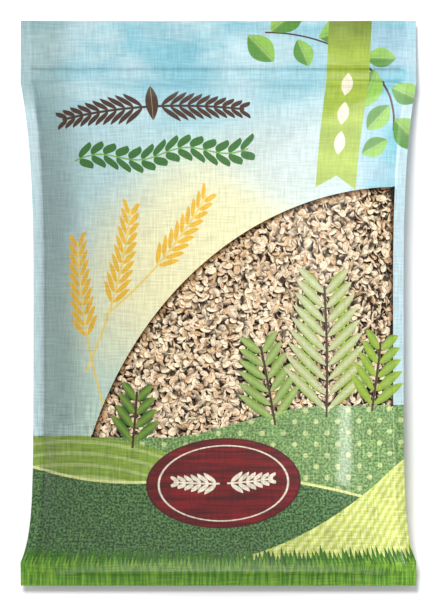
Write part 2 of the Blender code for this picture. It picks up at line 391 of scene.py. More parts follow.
def header_waves(u, v):
    """How the empty header strays from flat, which both sheets share."""
    broad = HEADER_BROAD * waves(u, v, (0.11, 0.16, 0.07), 5)
    fine = HEADER_FINE * waves(u, v, (0.045, 0.031, 0.024), 8)
    return smooth_step(FLAT_ZIP, FLAT_LENGTH, v) * (broad + fine)


def top_cut(u, v):
    """How far the top edge falls short of straight, as scissors leave it."""
    short = TOP_CUT * (1 + waves(u, 0 * v, (0.19, 0.12, 0.07), 6))
    return short * smooth_step(FLAT_LENGTH - TOP_CUT_REACH, FLAT_LENGTH, v)


# %% Finer sheets with the zip, the header's waves and the puckers
front_u = grid_lines((-WIDTH / 2,), (-INNER, 4), (INNER, 150), (WIDTH / 2, 4))
front_v = grid_lines((0.0,), (SEAL, 4), (ZIP_BAND[0], 180), (ZIP_BAND[1], 40), (FLAT_LENGTH, 14))
back_u = grid_lines((-WIDTH / 2,), (-INNER, 3), (INNER, 90), (WIDTH / 2, 3))
back_v = grid_lines((0.0,), (SEAL, 3), (ZIP_BAND[0], 110), (ZIP_BAND[1], 30), (FLAT_LENGTH, 8))
front_points, front_grid_u, front_grid_v = fine_sheet(front_cloth, front_u, front_v, 1, 3)
back_points, back_grid_u, back_grid_v = fine_sheet(back_cloth, back_u, back_v, -1, 4)
for points, u, v in ((front_points, front_grid_u, front_grid_v),
                     (back_points, back_grid_u, back_grid_v)):
    points[..., 2] += header_waves(u, v)
    points[..., 1] -= LENGTH / 2 + top_cut(u, v)
back_outward = -normals_of(back_points)
back_points += back_outward * (FILM * SHEET_GAP)
resting = back_points[..., 2].min()
front_points[..., 2] -= resting
back_points[..., 2] -= resting
print("front sheet", front_points.shape[:2], "back sheet", back_points.shape[:2])

# %% [markdown]
# ## Sheets of film, and the window cut out
# A grid of points becomes a mesh, with the flat film's two numbers kept on each vertex. The
# window's outline is a formula on those numbers, negative inside, and every edge that it crosses
# is split exactly where it is zero. A Boolean could cut it too, but on film a seventh of a
# millimetre thick it would be fragile, and this way both pieces share one clean edge. The outline
# is a quarter of an ellipse over a floor that rises softly to the right.

# %% The window's outline
WINDOW_CENTRE = (0.1530, 0.0160)
WINDOW_RADII = (0.2737, 0.3013)
WINDOW_RIGHT = INNER
WINDOW_FLOOR = 0.1200
WINDOW_FLOOR_RISE = 0.0245
WINDOW_RISES = (-0.050, 0.085)


def window_floor(u):
    """How far the window's lower edge is from the bottom, which the field below it follows."""
    return WINDOW_FLOOR + WINDOW_FLOOR_RISE * smooth_step(*WINDOW_RISES, u)


def outside_window(u, v):
    """About how far a point of the flat film lies outside the window, negative inside."""
    reach = np.hypot((u - WINDOW_CENTRE[0]) / WINDOW_RADII[0],
                     (v - WINDOW_CENTRE[1]) / WINDOW_RADII[1])
    past_arc = (reach - 1) * min(WINDOW_RADII)
    return np.maximum(np.maximum(past_arc, window_floor(u) - v), u - WINDOW_RIGHT)


print("window's height by the right seam",
      round(WINDOW_CENTRE[1] + WINDOW_RADII[1] - float(window_floor(WINDOW_RIGHT)), 3))


# %% From points to a mesh that is split at the window
def sheet_mesh(points, u, v, faces_up):
    """A bmesh of a grid, with its flat film coordinates on the vertices."""
    mesh = bmesh.new()
    across = mesh.verts.layers.float.new("across")
    along = mesh.verts.layers.float.new("along")
    for point, at_u, at_v in zip(points.reshape(-1, 3), u.ravel(), v.ravel()):
        vert = mesh.verts.new(point)
        vert[across] = at_u
        vert[along] = at_v
    mesh.verts.ensure_lookup_table()
    corners = cell_corners(np.arange(u.size).reshape(u.shape))
    for cell in corners if faces_up else corners[:, ::-1]:
        mesh.faces.new([mesh.verts[i] for i in cell])
    return mesh, across, along


def middle_of(face, across, along):
    """Where a face's middle lies on the flat film."""
    corners = len(face.verts)
    middle_u = sum(vert[across] for vert in face.verts) / corners
    middle_v = sum(vert[along] for vert in face.verts) / corners
    return middle_u, middle_v


def split_at_window(mesh, across, along):
    """Splits faces along the window's outline, and gives the faces inside it."""
    distance = {}
    for vert in mesh.verts:
        found = float(outside_window(vert[across], vert[along]))
        distance[vert] = 0.0 if abs(found) < TOLERANCE else found
    outline = []
    for edge in list(mesh.edges):
        start, end = edge.verts
        if distance[start] * distance[end] >= 0:
            continue
        share = distance[start] / (distance[start] - distance[end])
        at_u = start[across] + share * (end[across] - start[across])
        at_v = start[along] + share * (end[along] - start[along])
        _, new_vert = bmesh.utils.edge_split(edge, start, share)
        new_vert[across] = at_u
        new_vert[along] = at_v
        outline.append(new_vert)
    bmesh.ops.connect_verts(mesh, verts=outline)
    return [face for face in mesh.faces if outside_window(*middle_of(face, across, along)) < 0]


# %% From an open sheet to a piece of film
def add_maps(mesh, across, along):
    """The print's map, which is the flat film in metres."""
    layer = mesh.loops.layers.uv.new("Print")
    for face in mesh.faces:
        for loop in face.loops:
            loop[layer].uv = (loop.vert[across], loop.vert[along])


INNER_STRIP = 0.028
RIM_STRIP = 0.030
RIM_STRIP_WIDTH = 0.008
OUTER_START = 0.04
SHARP_ANGLE = math.radians(50)


def bake_map(mesh, outer_faces):
    """A square map for baking: the outer wall fills it but for strips for inner wall and rim.

    Solidify keeps the outer faces first, then the inner ones, and the rim comes last."""
    flat = mesh.uv_layers["Print"].data
    square = mesh.uv_layers.new(name="OFBake").data
    for polygon in mesh.polygons:
        for turn, index in enumerate(polygon.loop_indices):
            u, v = flat[index].uv
            share = u / WIDTH + 0.5
            if polygon.index < outer_faces:
                square[index].uv = (OUTER_START + (1 - OUTER_START) * share, v / FLAT_LENGTH)
            elif polygon.index < 2 * outer_faces:
                square[index].uv = (INNER_STRIP * share, v / FLAT_LENGTH)
            else:
                strip_u = RIM_STRIP + RIM_STRIP_WIDTH * (turn in (1, 2))
                square[index].uv = (strip_u, (share + v / FLAT_LENGTH) / 2)


def make_plain(piece):
    """Turns a piece's modifiers into plain mesh, and takes them away."""
    graph = bpy.context.evaluated_depsgraph_get()
    mesh = bpy.data.meshes.new_from_object(
        piece.evaluated_get(graph), preserve_all_data_layers=True, depsgraph=graph)
    piece.modifiers.clear()
    piece.data = mesh


def film_piece(name, mesh, across, along, material):
    """A closed, thin solid of film from an open sheet whose faces point out."""
    add_maps(mesh, across, along)
    data = bpy.data.meshes.new(name)
    mesh.to_mesh(data)
    mesh.free()
    data.materials.append(material)
    outer_faces = len(data.polygons)
    piece = bpy.data.objects.new(name, data)
    scene.collection.objects.link(piece)
    wall = piece.modifiers.new("wall", "SOLIDIFY")
    wall.thickness = FILM
    wall.offset = -1
    wall.use_even_offset = False
    make_plain(piece)
    bake_map(piece.data, outer_faces)
    piece.data.shade_smooth()
    piece.data.set_sharp_from_angle(angle=SHARP_ANGLE)
    print(name, len(piece.data.polygons), "faces")
    return piece


# %% [markdown]
# ## Numbers that nodes work out
# The print is drawn in the shader, with no picture: every leaf, ear and field is a small formula
# on the flat film's coordinates. Written out as node after node that would be hard to read, so a
# small class lets ordinary arithmetic build the Math nodes. `a * b + 1` on two of these numbers
# makes the nodes and their links.

# %% A class for node arithmetic
class Number:
    """A value that a node gives. Arithmetic on it adds Math nodes to its tree."""

    def __init__(self, socket):
        self.socket = socket

    def __add__(self, other):
        return maths("ADD", self, other)

    def __sub__(self, other):
        return maths("SUBTRACT", self, other)

    def __rsub__(self, other):
        return maths("SUBTRACT", other, self)

    def __mul__(self, other):
        return maths("MULTIPLY", self, other)

    def __truediv__(self, other):
        return maths("DIVIDE", self, other)

    def __abs__(self):
        return maths("ABSOLUTE", self)


def feed(socket, value):
    """Links a Number or a socket to an input, or sets the input to a plain value."""
    if isinstance(value, Number):
        value = value.socket
    if isinstance(value, bpy.types.NodeSocket):
        socket.id_data.links.new(value, socket)
    else:
        socket.default_value = value


def maths(operation, *values, clamp=False):
    """A Math node, in the same tree as the first Number among its values."""
    tree = next(value.socket.id_data for value in values if isinstance(value, Number))
    node = tree.nodes.new("ShaderNodeMath")
    node.operation = operation
    node.use_clamp = clamp
    for socket, value in zip(node.inputs, values):
        feed(socket, value)
    return Number(node.outputs[0])


def scaled_sum(value, factor, plus, clamp=False):
    """value * factor + plus in a single node."""
    return maths("MULTIPLY_ADD", value, factor, plus, clamp=clamp)


def larger(a, b):
    """The larger of two values, which joins masks and cuts shapes."""
    return maths("MAXIMUM", a, b)


def step_between(value, start, end):
    """0 before start, 1 after end, and a smooth step between."""
    node = value.socket.id_data.nodes.new("ShaderNodeMapRange")
    node.interpolation_type = "SMOOTHSTEP"
    feed(node.inputs["Value"], value)
    node.inputs["From Min"].default_value = start
    node.inputs["From Max"].default_value = end
    return Number(node.outputs["Result"])


def colour(red, green, blue):
    """A screen colour from 0 to 255 as the linear colour that shaders take."""
    return tuple(((c / 255 + 0.055) / 1.055) ** 2.4 for c in (red, green, blue)) + (1.0,)


def blend_colours(factor, first, second):
    """The first colour where the factor is 0, and the second where it is 1."""
    tree = factor.socket.id_data
    node = tree.nodes.new("ShaderNodeMix")
    node.data_type = "RGBA"
    feed(node.inputs["Factor"], factor)
    feed(node.inputs[6], first)
    feed(node.inputs[7], second)
    return node.outputs[2]


# %% [markdown]
# ## A sheet to print on
# A printer lays one ink over another. The class below does the same with Mix nodes: each call of
# `paint` lays a colour over what is there, where a mask is 1. On the clear window the masks are
# also gathered, because there the film is only opaque where there is ink.

# %% The sheet, its motifs' own coordinates and sharp ink edges
INK_EDGE = 0.0004


class Sheet:
    """The print on one piece of film, laid down ink by ink."""

    def __init__(self, material, background):
        self.tree = material.node_tree
        self.place = self.tree.nodes.new("ShaderNodeUVMap")
        self.place.uv_map = "Print"
        parts = self.tree.nodes.new("ShaderNodeSeparateXYZ")
        feed(parts.inputs[0], self.place.outputs[0])
        self.u = Number(parts.outputs[0])
        self.v = Number(parts.outputs[1])
        self.ink = background
        self.cover = None

    def paint(self, ink, mask):
        self.ink = blend_colours(mask, self.ink, ink)
        self.cover = mask if self.cover is None else larger(self.cover, mask)

    def local(self, at, turn=0.0, size=(1.0, 1.0)):
        """A motif's own coordinates: 0 at its middle, turned by degrees, in units of its size."""
        node = self.tree.nodes.new("ShaderNodeMapping")
        node.vector_type = "TEXTURE"
        feed(node.inputs["Vector"], self.place.outputs[0])
        node.inputs["Location"].default_value = (*at, 0)
        node.inputs["Rotation"].default_value = (0, 0, math.radians(turn))
        node.inputs["Scale"].default_value = (*size, 1)
        parts = self.tree.nodes.new("ShaderNodeSeparateXYZ")
        feed(parts.inputs[0], node.outputs[0])
        return Number(parts.outputs[0]), Number(parts.outputs[1])

    def noise(self, scale, detail=2.0, stretch=(1.0, 1.0), shift=0.0):
        """Cloudy noise around 0.5, with so many clouds a metre across and along."""
        mapping = self.tree.nodes.new("ShaderNodeMapping")
        feed(mapping.inputs["Vector"], self.place.outputs[0])
        mapping.inputs["Location"].default_value = (shift, shift, shift)
        mapping.inputs["Scale"].default_value = (*stretch, 1)
        node = self.tree.nodes.new("ShaderNodeTexNoise")
        feed(node.inputs["Vector"], mapping.outputs[0])
        node.inputs["Scale"].default_value = scale
        node.inputs["Detail"].default_value = detail
        return Number(node.outputs[0])


def filled_in(distance, edge=INK_EDGE):
    """A mask that is 1 where the distance is negative, with an edge as wide as ink's."""
    return scaled_sum(distance, -1 / edge, 0.5, clamp=True)


# %% [markdown]
# ## Motifs: a leaf, and a stem with leaves
# A leaf is two arcs that meet in points: `|y| + x * x < 1` in its own coordinates. An ear of oats
# or a leafy sprig is the same lens again and again along a stem. One lens per grain would take
# hundreds of nodes, so the coordinates are folded: the distance to the stem makes both sides
# alike, a slanting shear makes the grains lean forward, and a ping-pong of the distance along the
# stem repeats one grain for as many as there are.

# %% Leaves and sprigs
LENS_CURVE = 1.84
LENS_GAP = 0.04
STEM_INK = 0.0006


def leaf(sheet, at, turn, length, width, dark, light):
    """A leaf whose one half is lighter than the other."""
    x, y = sheet.local(at, turn, (length / 2, width / 2))
    mask = filled_in(scaled_sum(x, x, abs(y)) - 1, INK_EDGE * 2 / width)
    halves = scaled_sum(y, 2.2, 0.5, clamp=True)
    midrib = scaled_sum(abs(y), -12.0, 1.0, clamp=True)
    sheet.paint(blend_colours(midrib * 0.5, blend_colours(halves, dark, light), PALE_LIME), mask)


def sprig(sheet, x, y, count, pitch, grain, slant, ink, stem_ink, stem=STEM_INK, stalk=0.0,
          taper=0.0, vein_ink=None):
    """Grains or leaves on both sides of a stem that runs along x from 0.

    The ping-pong goes from 0 between two grains to 0.5 on a grain's midrib. Half way along, the
    lens is as low as its gap, so the grain is nearly as wide as the pitch. At both ends, half a
    length away, it is the curve times a quarter plus the gap, which is 0.5, so the grain closes."""
    off_stem = abs(y)
    sheared = scaled_sum(off_stem, -1 / (pitch * math.tan(math.radians(slant))), x * (1 / pitch))
    reach = grain * math.sin(math.radians(slant))
    if taper:
        reach = scaled_sum(sheared, -taper * reach / count, reach)
    lengthwise = off_stem / reach - 0.5
    width = maths("PINGPONG", sheared, 0.5)
    lens = scaled_sum(lengthwise * lengthwise, LENS_CURVE, LENS_GAP) - width
    beyond = abs(sheared - count / 2) - count / 2
    if vein_ink:
        ink = blend_colours(step_between(width, 0.05, 0.5) * 0.6, ink, vein_ink)
    sheet.paint(ink, filled_in(larger(lens, beyond), INK_EDGE / pitch))
    along = abs(x - (count * pitch - stalk) / 2) - (count * pitch + stalk) / 2
    sheet.paint(stem_ink, filled_in(larger(off_stem - stem, along)))


# %% [markdown]
# ## The picture on the pouch
# The layout follows what such a pouch has: a sky that fades from turquoise to cream, fields below
# the window, plants that reach over it, and a dark red plaque. The motifs are simple grains and
# leaves. Everything is placed in metres on the flat film, and the colours are a printer's few
# inks, gathered here by name.

# %% Inks
TURQUOISE = colour(132, 200, 216)
PALE_BLUE = colour(196, 229, 236)
MINT = colour(205, 232, 216)
CREAM_GLOW = colour(255, 250, 200)
MIST = colour(206, 222, 220)
SKY_BLUE = colour(160, 200, 216)
SHADOW_TEAL = colour(150, 178, 176)
WELD_BLUE = colour(212, 238, 244)
GOLD = colour(250, 200, 62)
PALE_GOLD = colour(253, 226, 130)
BROWN = colour(74, 44, 26)
LEAF_DARK = colour(58, 118, 48)
LEAF_LIGHT = colour(122, 178, 74)
LEAF_BRIGHT = colour(128, 172, 48)
LEAF_FRESH = colour(88, 150, 52)
LEAF_FRESH_LIGHT = colour(150, 202, 84)
LIME = colour(164, 194, 62)
LIME_BRIGHT = colour(190, 212, 74)
LIME_SHADE = colour(126, 148, 48)
PALE_LIME = colour(206, 221, 150)
FIELD_LIME = colour(142, 173, 64)
FIELD_MID = colour(150, 186, 114)
FIELD_DARK = colour(42, 80, 38)
FELT_LIGHT = colour(106, 150, 88)
FIELD_LOW = colour(90, 128, 66)
FIELD_YELLOW = colour(238, 244, 160)
FIELD_STRAW = colour(206, 220, 104)
GRASS = colour(76, 140, 24)
GRASS_LIGHT = colour(140, 188, 52)
GRASS_DEEP = colour(50, 98, 20)
RIBBON = colour(158, 184, 54)
RIBBON_LIGHT = colour(178, 202, 72)
RED = colour(140, 16, 22)
RED_SHADE = colour(86, 10, 14)
CREAM = colour(248, 240, 216)
print("turquoise as linear light", [round(part, 3) for part in TURQUOISE[:3]])


# %% The sky with its glow
GLOW_PLACE = ((-0.022, 0.262), 35, (0.125, 0.085))
MIST_PLACE = ((0.080, 0.335), -10, (0.085, 0.042))
RIGHT_BAND = (0.118, 0.146)
LEFT_SHADE_BAND = (-0.120, -0.092)


def paint_sky(sheet):
    """A sky like watercolour on linen, turquoise above and cream towards the window."""
    clouds = sheet.noise(9.0, 4.0)
    height = scaled_sum(clouds, 0.16, sheet.v)
    sheet.ink = blend_colours(step_between(height, 0.20, 0.50), MINT, PALE_BLUE)
    blots = sheet.noise(24.0, 4.0, (0.7, 1.3), 3.0)
    upper = step_between(height, 0.38, 0.54)
    sheet.ink = blend_colours(upper * step_between(blots, 0.36, 0.66), sheet.ink, TURQUOISE)
    across, along = sheet.local(*GLOW_PLACE)
    spread = across * across + along * along
    glow = 1 - step_between(scaled_sum(clouds, 0.5, spread), 0.2, 1.5)
    sheet.ink = blend_colours(glow, sheet.ink, CREAM_GLOW)
    across, along = sheet.local(*MIST_PLACE)
    mist = 1 - step_between(across * across + along * along, 0.1, 1.3)
    sheet.ink = blend_colours(mist * 0.8, sheet.ink, MIST)
    right = step_between(scaled_sum(clouds, 0.04, sheet.u), *RIGHT_BAND)
    dabs = blend_colours(step_between(blots, 0.46, 0.62), SKY_BLUE, TURQUOISE)
    sheet.ink = blend_colours(right * 0.85, sheet.ink, dabs)
    # Painted shade: the sky is greyed towards SHADOW_TEAL along the left, where the film slopes away
    # from the key light.
    left = 1 - step_between(scaled_sum(clouds, 0.02, sheet.u), *LEFT_SHADE_BAND)
    sheet.ink = blend_colours(left * 0.7, sheet.ink, SHADOW_TEAL)
    edge = step_between(abs(sheet.u), INNER - 0.0006, INNER + 0.0002)
    below_header = scaled_sum(step_between(sheet.v, FLAT_ZIP - EMPTIES_OVER, FLAT_ZIP), -0.6, 0.8)
    sheet.ink = blend_colours(edge * below_header, sheet.ink, WELD_BLUE)


# %% The fields
# Where each field's top edge lies on the flat film, in metres, and what bends it.
LIME_HILL_MIDDLE = -0.115
LIME_HILL_TOP = 0.1210
LIME_HILL_FALL = 2.4
FELT_TOP = 0.0830
FELT_SLOPE = -0.10
FELT_WAVE = 0.008
FELT_HEM = 0.0022
LOW_FIELD_TOP = 0.0160
LOW_FIELD_FROM = -0.045
LOW_FIELD_RISE = 2.2
# The dots are so far apart, and there are so many seed rows and drills a metre.
DOT_PITCH = 0.0125
SEED_ROWS = 110.0
DRILLS_ACROSS = 70.0


def paint_fields(sheet):
    """Fields in curves under the window, each with a small pattern of its own."""
    wave = maths("SINE", scaled_sum(sheet.u, 21.0, 0.6))
    rise = step_between(sheet.u, *WINDOW_RISES)
    top = scaled_sum(rise, WINDOW_FLOOR_RISE, WINDOW_FLOOR)
    speckle = sheet.noise(560.0, 1.0)
    dots_x, dots_y = sheet.local((0, 0), 45, (DOT_PITCH, DOT_PITCH))
    dot = maths("POWER", maths("PINGPONG", dots_x, 0.5), 2.0)
    along_dot = maths("PINGPONG", dots_y, 0.5)
    dot = scaled_sum(along_dot, along_dot, dot)
    dots = filled_in(dot - 0.028, 0.012)
    mottled = blend_colours(step_between(speckle, 0.36, 0.64), FIELD_LOW, FIELD_MID)
    ground = blend_colours(dots * 0.9, mottled, PALE_LIME)
    sheet.paint(ground, filled_in(sheet.v - top))
    from_hill = sheet.u - LIME_HILL_MIDDLE
    lime_top = scaled_sum(from_hill, from_hill * -LIME_HILL_FALL, LIME_HILL_TOP)
    rows_of_seed = maths("PINGPONG", (lime_top - sheet.v) * SEED_ROWS, 0.5)
    stripes = filled_in(0.36 - rows_of_seed, 0.05)
    lime = blend_colours(stripes * 0.5, FIELD_LIME, PALE_LIME)
    sheet.paint(lime, filled_in(sheet.v - lime_top))
    felt_top = scaled_sum(wave, FELT_WAVE, scaled_sum(sheet.u, FELT_SLOPE, FELT_TOP))
    sheet.paint(FIELD_YELLOW, filled_in(sheet.v - felt_top - FELT_HEM))
    felt = blend_colours(step_between(speckle, 0.38, 0.62), FIELD_DARK, FELT_LIGHT)
    sheet.paint(felt, filled_in(sheet.v - felt_top))
    to_right = larger(sheet.u - LOW_FIELD_FROM, 0.0)
    low_top = scaled_sum(to_right, to_right * LOW_FIELD_RISE, LOW_FIELD_TOP)
    slanted = scaled_sum(sheet.u, DRILLS_ACROSS, (low_top - sheet.v) * SEED_ROWS)
    drills = maths("PINGPONG", slanted, 0.5)
    low = blend_colours(step_between(drills, 0.12, 0.38), FIELD_STRAW, FIELD_YELLOW)
    sheet.paint(low, filled_in(sheet.v - low_top))


# %% The border of leaf tips along the bottom
# Each row's pitch and height, its ink, and the other ink that its blades are streaked with.
ROWS_OF_TIPS = (
    (0.0034, 0.030, GRASS, GRASS_DEEP),
    (0.0029, 0.023, GRASS_LIGHT, GRASS),
    (0.0031, 0.016, GRASS, GRASS_LIGHT),
)


def paint_border(sheet):
    """Rows of upright pointed leaves, bright green, along the bottom edge."""
    for row, (pitch, height, ink, other_ink) in enumerate(ROWS_OF_TIPS):
        shift = sheet.noise(230.0, 1.0, (1.0, 0.02), row * 5.0)
        tip = maths("PINGPONG", scaled_sum(sheet.u, 1 / pitch, row * 0.37), 0.5)
        top = scaled_sum(tip, 0.014, scaled_sum(shift, 0.020, height - 0.016))
        blades = step_between(sheet.noise(520.0, 1.0, (1.0, 0.07), row * 3.0), 0.40, 0.60)
        mixed = blend_colours(blades * 0.8, ink, other_ink)
        sheet.paint(mixed, filled_in(sheet.v - top, 0.0006))


# %% The plants before the window
# Each plant's foot on the flat film, the way it grows in degrees, its pairs of leaves, their
# pitch and length, and the inks of leaf and midrib.
WINDOW_PLANTS = (
    ((0.046, 0.130), 99, 6, 0.0105, 0.036, LEAF_BRIGHT, PALE_LIME),
    ((0.088, 0.136), 88, 9, 0.0114, 0.050, LIME, CREAM),
    ((0.126, 0.140), 80, 5, 0.0110, 0.032, LEAF_BRIGHT, LIME_BRIGHT),
    ((-0.070, 0.112), 84, 4, 0.0110, 0.028, LEAF_DARK, LIME),
)


def paint_window_plants(sheet):
    """Sprigs that stand before the window, printed on clear film and on the field below."""
    for at, turn, count, pitch, grain, ink, vein_ink in WINDOW_PLANTS:
        x, y = sheet.local(at, turn)
        sprig(sheet, x, y - x * x * 0.5, count, pitch, grain, 48, ink, BROWN,
              stem=0.0009, taper=0.45, vein_ink=vein_ink)


# %% The ears and the vine on the sky
EAR_MIDDLE = (-0.052, 0.380)
MIDDLE_GRAIN = (-0.052, 0.3835)
VINE_START = (-0.116, 0.337)
VINE_WAVE = 0.0035
# Each golden ear's foot, its direction, how much it bends, and its pairs of grains.
GOLD_EARS = (
    ((-0.107, 0.196), 101, 1.1, 10),
    ((-0.088, 0.222), 72, -1.3, 10),
    ((-0.052, 0.252), 47, -1.6, 9),
)


def paint_ornaments(sheet):
    """A brown ear either way from a middle, and a green vine below it."""
    x, y = sheet.local(EAR_MIDDLE, 3)
    from_middle = abs(x) - 0.004
    sprig(sheet, from_middle, scaled_sum(x * x, 1.2, y), 10, 0.0068, 0.0200, 42, BROWN, BROWN,
          stem=0.0010, taper=0.5)
    leaf(sheet, MIDDLE_GRAIN, 93, 0.030, 0.0100, BROWN, BROWN)
    x, y = sheet.local(VINE_START, 4)
    vine = y - maths("SINE", x * 88.0) * VINE_WAVE
    sprig(sheet, x, vine, 14, 0.0100, 0.0140, 50, LEAF_DARK, LEAF_LIGHT)


def paint_gold_ears(sheet):
    """Three golden ears that rise in the glow beside the window."""
    for at, turn, bend, count in GOLD_EARS:
        x, y = sheet.local(at, turn)
        sprig(sheet, x, scaled_sum(x * x, bend, y), count, 0.0078, 0.0185, 38, GOLD, PALE_GOLD,
              stem=0.0009, stalk=0.055, taper=0.35)


# %% The garland and the ribbon
GARLAND_MIDDLE = (0.036, 0.362)
GARLAND_RADII = (0.104, 0.078)
GARLAND_LEAVES = 11
GARLAND_START = 92
GARLAND_SWEEP = 104
LEAF_OFF_TWIG = 0.0125
RIBBON_MIDDLE = (0.0985, 0.385)
RIBBON_LEAN = -3
RIBBON_HALF_WIDTH = 0.0165
RIBBON_GRAINS = (-0.034, -0.010, 0.014)


def paint_garland(sheet):
    """Leaves on a twig that hangs from the top edge to the right side."""
    x, y = sheet.local(GARLAND_MIDDLE, 0, GARLAND_RADII)
    ring = abs(maths("SQRT", scaled_sum(x, x, y * y)) - 1)
    twig = larger(ring - 0.008, larger(x * -1, y * -1))
    sheet.paint(BROWN, filled_in(twig, 0.004))
    for step in range(GARLAND_LEAVES):
        angle = math.radians(GARLAND_START - GARLAND_SWEEP * step / (GARLAND_LEAVES - 1))
        side = 1 if step % 2 else -1
        reach_u = GARLAND_RADII[0] + side * LEAF_OFF_TWIG
        reach_v = GARLAND_RADII[1] + side * LEAF_OFF_TWIG
        at = (GARLAND_MIDDLE[0] + reach_u * math.cos(angle),
              GARLAND_MIDDLE[1] + reach_v * math.sin(angle))
        turn = math.degrees(angle) - 90 + side * 48
        length = 0.029 + 0.006 * math.sin(step * 2.3)
        leaf(sheet, at, turn, length, length * 0.66, LEAF_FRESH, LEAF_FRESH_LIGHT)


def paint_ribbon(sheet):
    """A lime ribbon from the top edge, with a swallow tail and three cream grains."""
    x, y = sheet.local(RIBBON_MIDDLE, RIBBON_LEAN)
    tail = scaled_sum(abs(x), -0.62, -0.060)
    ribbon = larger(abs(x) - RIBBON_HALF_WIDTH, tail - y)
    shade = step_between(y, 0.035, 0.064)
    folds = step_between(sheet.noise(30.0, 2.0, (0.2, 1.6), 7.0), 0.35, 0.7)
    body = blend_colours(folds, RIBBON, RIBBON_LIGHT)
    sheet.paint(blend_colours(shade, body, LIME_SHADE), filled_in(ribbon))
    lean = math.radians(RIBBON_LEAN)
    for height in RIBBON_GRAINS:
        at = (RIBBON_MIDDLE[0] - height * math.sin(lean),
              RIBBON_MIDDLE[1] + height * math.cos(lean))
        leaf(sheet, at, 84, 0.019, 0.0088, CREAM, CREAM)


# %% The plaque
PLAQUE_MIDDLE = (0.004, 0.0845)
PLAQUE_RADII = (0.061, 0.0345)
PLAQUE_TURN = 2
PLAQUE_LINE = 0.86


def paint_plaque(sheet):
    """An oval dark red plaque with a cream line and a cream ear."""
    x, y = sheet.local(PLAQUE_MIDDLE, PLAQUE_TURN, PLAQUE_RADII)
    reach = maths("SQRT", scaled_sum(x, x, y * y))
    grain = sheet.noise(60.0, 3.0, (0.25, 4.0), 11.0)
    wood = blend_colours(step_between(grain, 0.35, 0.68), RED_SHADE, RED)
    sheet.paint(RED_SHADE, filled_in(reach - 1.03, 0.012))
    sheet.paint(wood, filled_in(reach - 1.0, 0.012))
    sheet.paint(CREAM, filled_in(abs(reach - PLAQUE_LINE) - 0.013, 0.010))
    x, y = sheet.local(PLAQUE_MIDDLE, PLAQUE_TURN)
    sprig(sheet, abs(x) - 0.003, scaled_sum(x * x, -1.6, y), 6, 0.0062, 0.0135, 42, CREAM, CREAM,
          stem=0.0007, taper=0.55)


# %% [markdown]
# ## Finishes of the film
# Printed laminate is satin: the ink lies under a thin clear layer, so the highlight is broad and
# colourless. Threads of a linen weave are printed in the colours themselves, and a fine bump
# breaks the highlight. The window is the same film with no ink, so its shader lets the light
# through, browned by a painted shadow along its edges, and adds the film's reflection, which is
# weak face on and grows towards grazing angles by the fifth power of the Facing value. A Fresnel
# node would treat the film's inner wall as the inside of solid glass and turn it into a mirror.

# %% Linen, satin and tints
PAPER_WHITE = 0.74
THREAD_NOISE = 60.0
THREAD_STRETCH = 13.0


def new_material(name):
    """A material with nothing but its output."""
    material = bpy.data.materials.new(name)
    material.use_nodes = True
    material.node_tree.nodes.clear()
    output = material.node_tree.nodes.new("ShaderNodeOutputMaterial")
    return material, output


def linen(sheet):
    """How light a printed linen thread is at each place, around 0."""
    weft = sheet.noise(THREAD_NOISE, 2.0, (1.0, THREAD_STRETCH), 1.0)
    warp = sheet.noise(THREAD_NOISE, 2.0, (THREAD_STRETCH, 1.0), 2.0)
    return weft + warp - 1.0


def satin(tree, ink, threads):
    """The printed laminate's shader."""
    shader = tree.nodes.new("ShaderNodeBsdfPrincipled")
    feed(shader.inputs["Base Color"], ink)
    shader.inputs["Roughness"].default_value = 0.5
    shader.inputs["Specular IOR Level"].default_value = 0.35
    shader.inputs["Coat Weight"].default_value = 0.5
    shader.inputs["Coat Roughness"].default_value = 0.12
    bump = tree.nodes.new("ShaderNodeBump")
    bump.inputs["Strength"].default_value = 0.10
    bump.inputs["Distance"].default_value = 0.0003
    feed(bump.inputs["Height"], threads)
    feed(shader.inputs["Normal"], bump.outputs[0])
    return shader


def tinted(tree, ink, brightness):
    """An ink made lighter or darker by a factor."""
    node = tree.nodes.new("ShaderNodeVectorMath")
    node.operation = "SCALE"
    feed(node.inputs[0], ink)
    feed(node.inputs["Scale"], brightness)
    return node.outputs[0]


# %% The printed, the clear and the back film
CLEAR = (0.995, 0.995, 0.99, 1)
# Painted shadow: the brown that the light through the film takes along the window's edges.
RIM_SHADOW_BROWN = (0.50, 0.38, 0.24, 1)
RIM_SHADE = 0.7
RIM_SHADOW_REACH = (0.982, 1.002)
RIM_SHADOW_BY_WELD = 0.004
FACE_ON_GLOSS = 0.008
GRAZING_GLOSS = 0.30


def printed_film():
    """The front's print, ink over ink in the order that a printer would lay them."""
    material, output = new_material("Printed satin film")
    sheet = Sheet(material, MINT)
    paint_sky(sheet)
    paint_gold_ears(sheet)
    paint_ornaments(sheet)
    paint_garland(sheet)
    paint_ribbon(sheet)
    paint_fields(sheet)
    paint_window_plants(sheet)
    paint_plaque(sheet)
    paint_border(sheet)
    threads = linen(sheet)
    strength = scaled_sum(1 - step_between(sheet.v, 0.12, 0.16), 0.45, 0.42)
    woven = tinted(sheet.tree, sheet.ink, scaled_sum(threads, strength, PAPER_WHITE))
    shader = satin(sheet.tree, woven, threads)
    feed(output.inputs[0], shader.outputs[0])
    print("printed film has", len(sheet.tree.nodes), "nodes")
    return material


